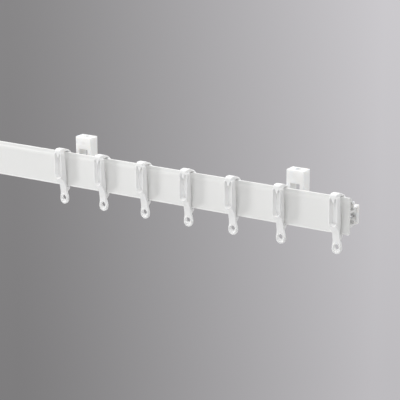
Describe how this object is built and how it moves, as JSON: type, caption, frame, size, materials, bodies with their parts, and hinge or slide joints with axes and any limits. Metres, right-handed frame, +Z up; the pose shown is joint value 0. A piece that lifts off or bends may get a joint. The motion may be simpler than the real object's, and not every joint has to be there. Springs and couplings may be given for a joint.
{
  "type": "curtain track",
  "caption": "White extruded curtain track with ceiling brackets, clip-over gliders with hollow fronts and eyelets, and clamped end stops.",
  "frame": {"origin": "midway between the two ceiling screw holes, on the brackets' top plane", "axes": "+X along the track, to the right as seen from the room; +Y towards the wall; +Z up"},
  "size_m": [0.4, 0.0309, 0.0591],
  "materials": {
    "track_white": "satin extruded white",
    "moulded_white": "moulded white",
    "glider_white": "waxy moulded white",
    "screw_steel": "zinc plated"
  },
  "bodies": {
    "rail": {"track": "track_white", "bracket_left": "moulded_white", "bracket_right": "moulded_white", "end_stop_left": "moulded_white", "end_stop_right": "moulded_white", "end_stop_screw_left": "screw_steel", "end_stop_screw_right": "screw_steel"},
    "glider_1": {"glider_1": "glider_white"},
    "glider_2": {"glider_2": "glider_white"},
    "glider_3": {"glider_3": "glider_white"},
    "glider_4": {"glider_4": "glider_white"},
    "glider_5": {"glider_5": "glider_white"},
    "glider_6": {"glider_6": "glider_white"},
    "glider_7": {"glider_7": "glider_white"}
  },
  "joints": [
    {"name": "glider_1_slide", "type": "slide", "parent": "rail", "child": "glider_1", "axis": [1, 0, 0], "range_m": [-0.1135, 0.0337]},
    {"name": "glider_2_slide", "type": "slide", "parent": "rail", "child": "glider_2", "axis": [1, 0, 0], "range_m": [-0.0337, 0.0347]},
    {"name": "glider_3_slide", "type": "slide", "parent": "rail", "child": "glider_3", "axis": [1, 0, 0], "range_m": [-0.0347, 0.0351]},
    {"name": "glider_4_slide", "type": "slide", "parent": "rail", "child": "glider_4", "axis": [1, 0, 0], "range_m": [-0.0351, 0.0348]},
    {"name": "glider_5_slide", "type": "slide", "parent": "rail", "child": "glider_5", "axis": [1, 0, 0], "range_m": [-0.0348, 0.0362]},
    {"name": "glider_6_slide", "type": "slide", "parent": "rail", "child": "glider_6", "axis": [1, 0, 0], "range_m": [-0.0362, 0.0418]},
    {"name": "glider_7_slide", "type": "slide", "parent": "rail", "child": "glider_7", "axis": [1, 0, 0], "range_m": [-0.0418, 0.0018]}
  ]
}
